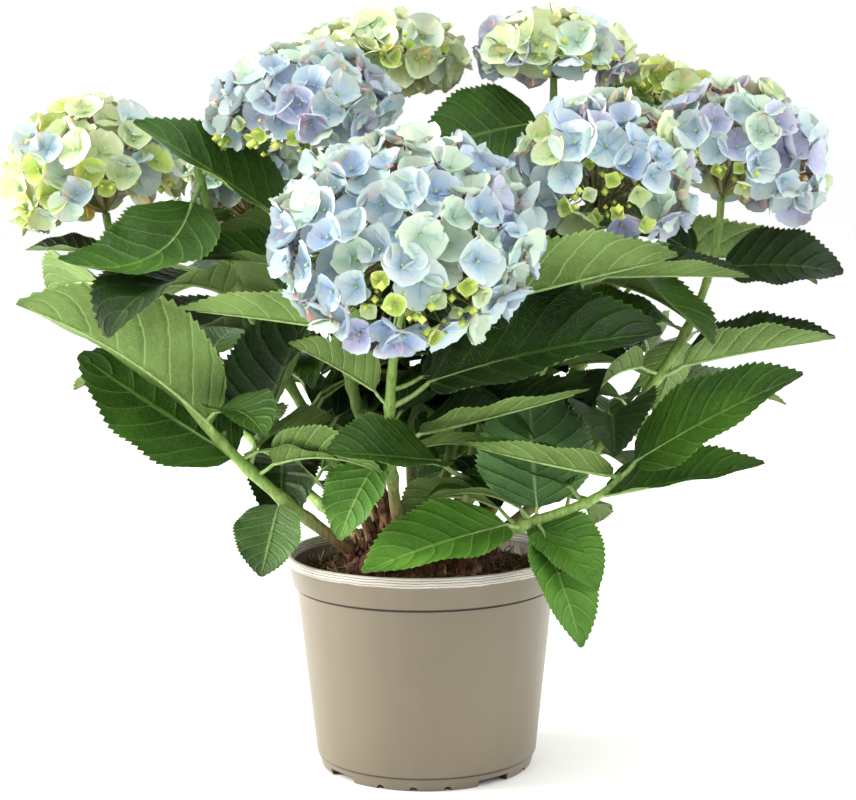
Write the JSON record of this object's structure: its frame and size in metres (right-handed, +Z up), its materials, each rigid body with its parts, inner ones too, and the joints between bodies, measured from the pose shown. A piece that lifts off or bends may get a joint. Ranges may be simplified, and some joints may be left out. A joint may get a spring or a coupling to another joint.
{
  "type": "potted hydrangea shrub",
  "caption": "Mophead hydrangea shrub with pale blue and lime flower heads and broad green leaves, growing in a round plastic nursery pot of peat.",
  "frame": {"origin": "centre of the pot's flat underside, on the ground", "axes": "+Z up along the pot's axis, -Y towards the front, +X to the right as seen from the front"},
  "size_m": [0.5613, 0.4809, 0.5154],
  "materials": {
    "pot": "satin taupe moulded plastic",
    "soil": "fibrous dark brown peat",
    "wood": "peeling red-brown bark",
    "cane": "smooth green shoot",
    "foliage": "glossy veined leaf",
    "blossom": "matte pale blue and lime sepals"
  },
  "bodies": {
    "root": {"pot": "pot", "soil": "soil", "crown": "wood", "cane_front": "cane", "leaves_front": "foliage", "bloom_front": "blossom", "cane_left": "cane", "leaves_left": "foliage", "bloom_left": "blossom", "cane_upper_left": "cane", "leaves_upper_left": "foliage", "bloom_upper_left": "blossom", "cane_top_back": "cane", "leaves_top_back": "foliage", "bloom_top_back": "blossom", "cane_top_right": "cane", "leaves_top_right": "foliage", "bloom_top_right": "blossom", "cane_right_centre": "cane", "leaves_right_centre": "foliage", "bloom_right_centre": "blossom", "cane_far_right": "cane", "leaves_far_right": "foliage", "bloom_far_right": "blossom", "cane_back_right": "cane", "leaves_back_right": "foliage", "bloom_back_right": "blossom", "cane_back_left": "cane", "leaves_back_left": "foliage", "bloom_back_left": "blossom", "cane_back": "cane", "leaves_back": "foliage", "bloom_back": "blossom", "cane_low_right": "cane", "leaves_low_right": "foliage", "cane_left_back": "cane", "leaves_left_back": "foliage", "cane_low_back_left": "cane", "leaves_low_back_left": "foliage", "cane_low_back_right": "cane", "leaves_low_back_right": "foliage"}
  },
  "joints": []
}
